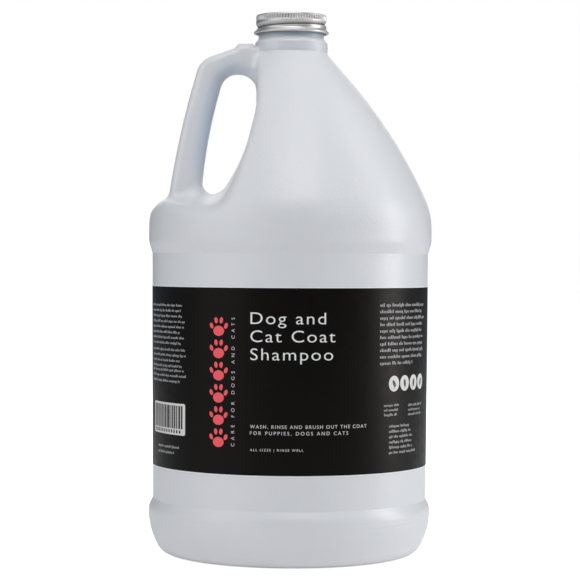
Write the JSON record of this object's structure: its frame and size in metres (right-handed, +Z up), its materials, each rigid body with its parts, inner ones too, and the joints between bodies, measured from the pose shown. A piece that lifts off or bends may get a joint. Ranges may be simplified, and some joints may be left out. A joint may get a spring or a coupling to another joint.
{
  "type": "shampoo bottle",
  "caption": "Round gallon jug with a hollow side handle, a threaded neck, a knurled metal screw cap with a liner, and a wrap-around film label.",
  "frame": {"origin": "centre of the circle that the bottle stands on", "axes": "+Z up along the neck and the body, -X towards the handle, -Y towards the front of the label"},
  "size_m": [0.1564, 0.1564, 0.2975],
  "materials": {
    "bottle": "blow-moulded natural white polyethylene with a soft satin sheen",
    "label": "satin black printed film",
    "liner": "white closed-cell foam",
    "cap": "bright rolled sheet with a knurled band"
  },
  "bodies": {
    "bottle": {"bottle_body": "bottle", "wrap_label": "label"},
    "liner": {"cap_liner": "liner"},
    "cap": {"cap_shell": "cap"}
  },
  "joints": [
    {"name": "cap_lift", "type": "slide", "parent": "bottle", "child": "liner", "axis": [0, 0, 1], "range_m": [0, 0.01695]},
    {"name": "cap_turn", "type": "hinge", "parent": "liner", "child": "cap", "pos_m": [0, 0, 0.2955], "axis": [0, 0, 1], "range_deg": [0, 1440]}
  ],
  "couplings": [
    {"joint": "cap_lift", "follows": "cap_turn", "m_per_rad": 0.00067376}
  ]
}
